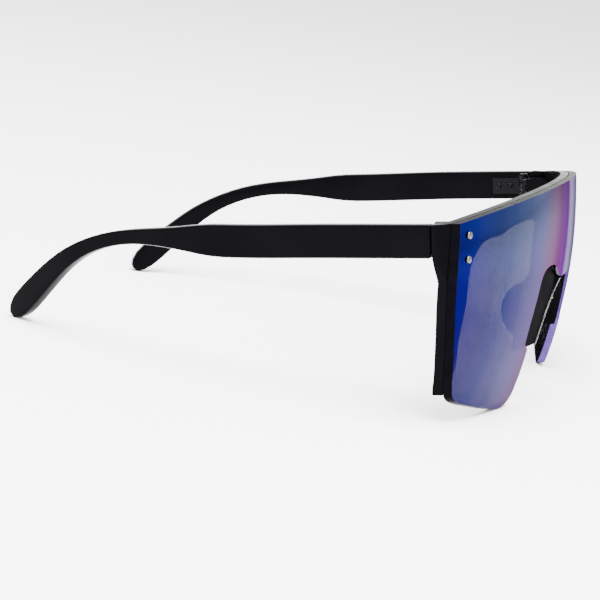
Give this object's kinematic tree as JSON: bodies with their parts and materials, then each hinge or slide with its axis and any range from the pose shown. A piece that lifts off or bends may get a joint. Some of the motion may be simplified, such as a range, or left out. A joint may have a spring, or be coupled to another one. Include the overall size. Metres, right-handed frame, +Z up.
{
  "type": "shield sunglasses",
  "caption": "Flat-top shield sunglasses: one curved mirrored lens riveted to a black brow frame, a moulded nose piece with two soft pads, and two folding temples on barrel hinges.",
  "frame": {"origin": "on the ground plane, below the middle of the bounding box, with the glasses standing open on the feet of the lens and the temple tips", "axes": "+X to the wearer's left, -Y the way the wearer looks, +Z up"},
  "size_m": [0.1498, 0.1506, 0.0625],
  "materials": {
    "black_plastic": "gloss black injection moulding",
    "mirror_lens": "tinted see-through plastic with a blue to violet mirror coating",
    "hinge_metal": "black-coated, satin",
    "bright_metal": "polished",
    "grey_silicone": "soft grey-green silicone"
  },
  "bodies": {
    "front": {"front_frame": "black_plastic", "shield_lens": "mirror_lens", "nose_piece": "black_plastic", "nose_pad_right": "grey_silicone", "nose_pad_left": "grey_silicone", "lens_rivet_upper_right": "bright_metal", "lens_rivet_lower_right": "bright_metal", "hinge_front_leaf_right": "hinge_metal", "hinge_screw_right": "bright_metal", "front_leaf_screw_outer_right": "bright_metal", "front_leaf_screw_inner_right": "bright_metal", "lens_rivet_upper_left": "bright_metal", "lens_rivet_lower_left": "bright_metal", "hinge_front_leaf_left": "hinge_metal", "hinge_screw_left": "bright_metal", "front_leaf_screw_outer_left": "bright_metal", "front_leaf_screw_inner_left": "bright_metal"},
    "right_temple": {"temple_right": "black_plastic", "hinge_temple_leaf_right": "hinge_metal", "temple_leaf_screw_front_right": "bright_metal", "temple_leaf_screw_rear_right": "bright_metal"},
    "left_temple": {"temple_left": "black_plastic", "hinge_temple_leaf_left": "hinge_metal", "temple_leaf_screw_front_left": "bright_metal", "temple_leaf_screw_rear_left": "bright_metal"}
  },
  "joints": [
    {"name": "right_hinge", "type": "hinge", "parent": "front", "child": "right_temple", "pos_m": [-0.069, -0.04815, 0.04917], "axis": [0, -0.1892, -0.9819], "range_deg": [0, 81]},
    {"name": "left_hinge", "type": "hinge", "parent": "front", "child": "left_temple", "pos_m": [0.069, -0.04815, 0.04917], "axis": [0, 0.1892, 0.9819], "range_deg": [0, 73]}
  ]
}
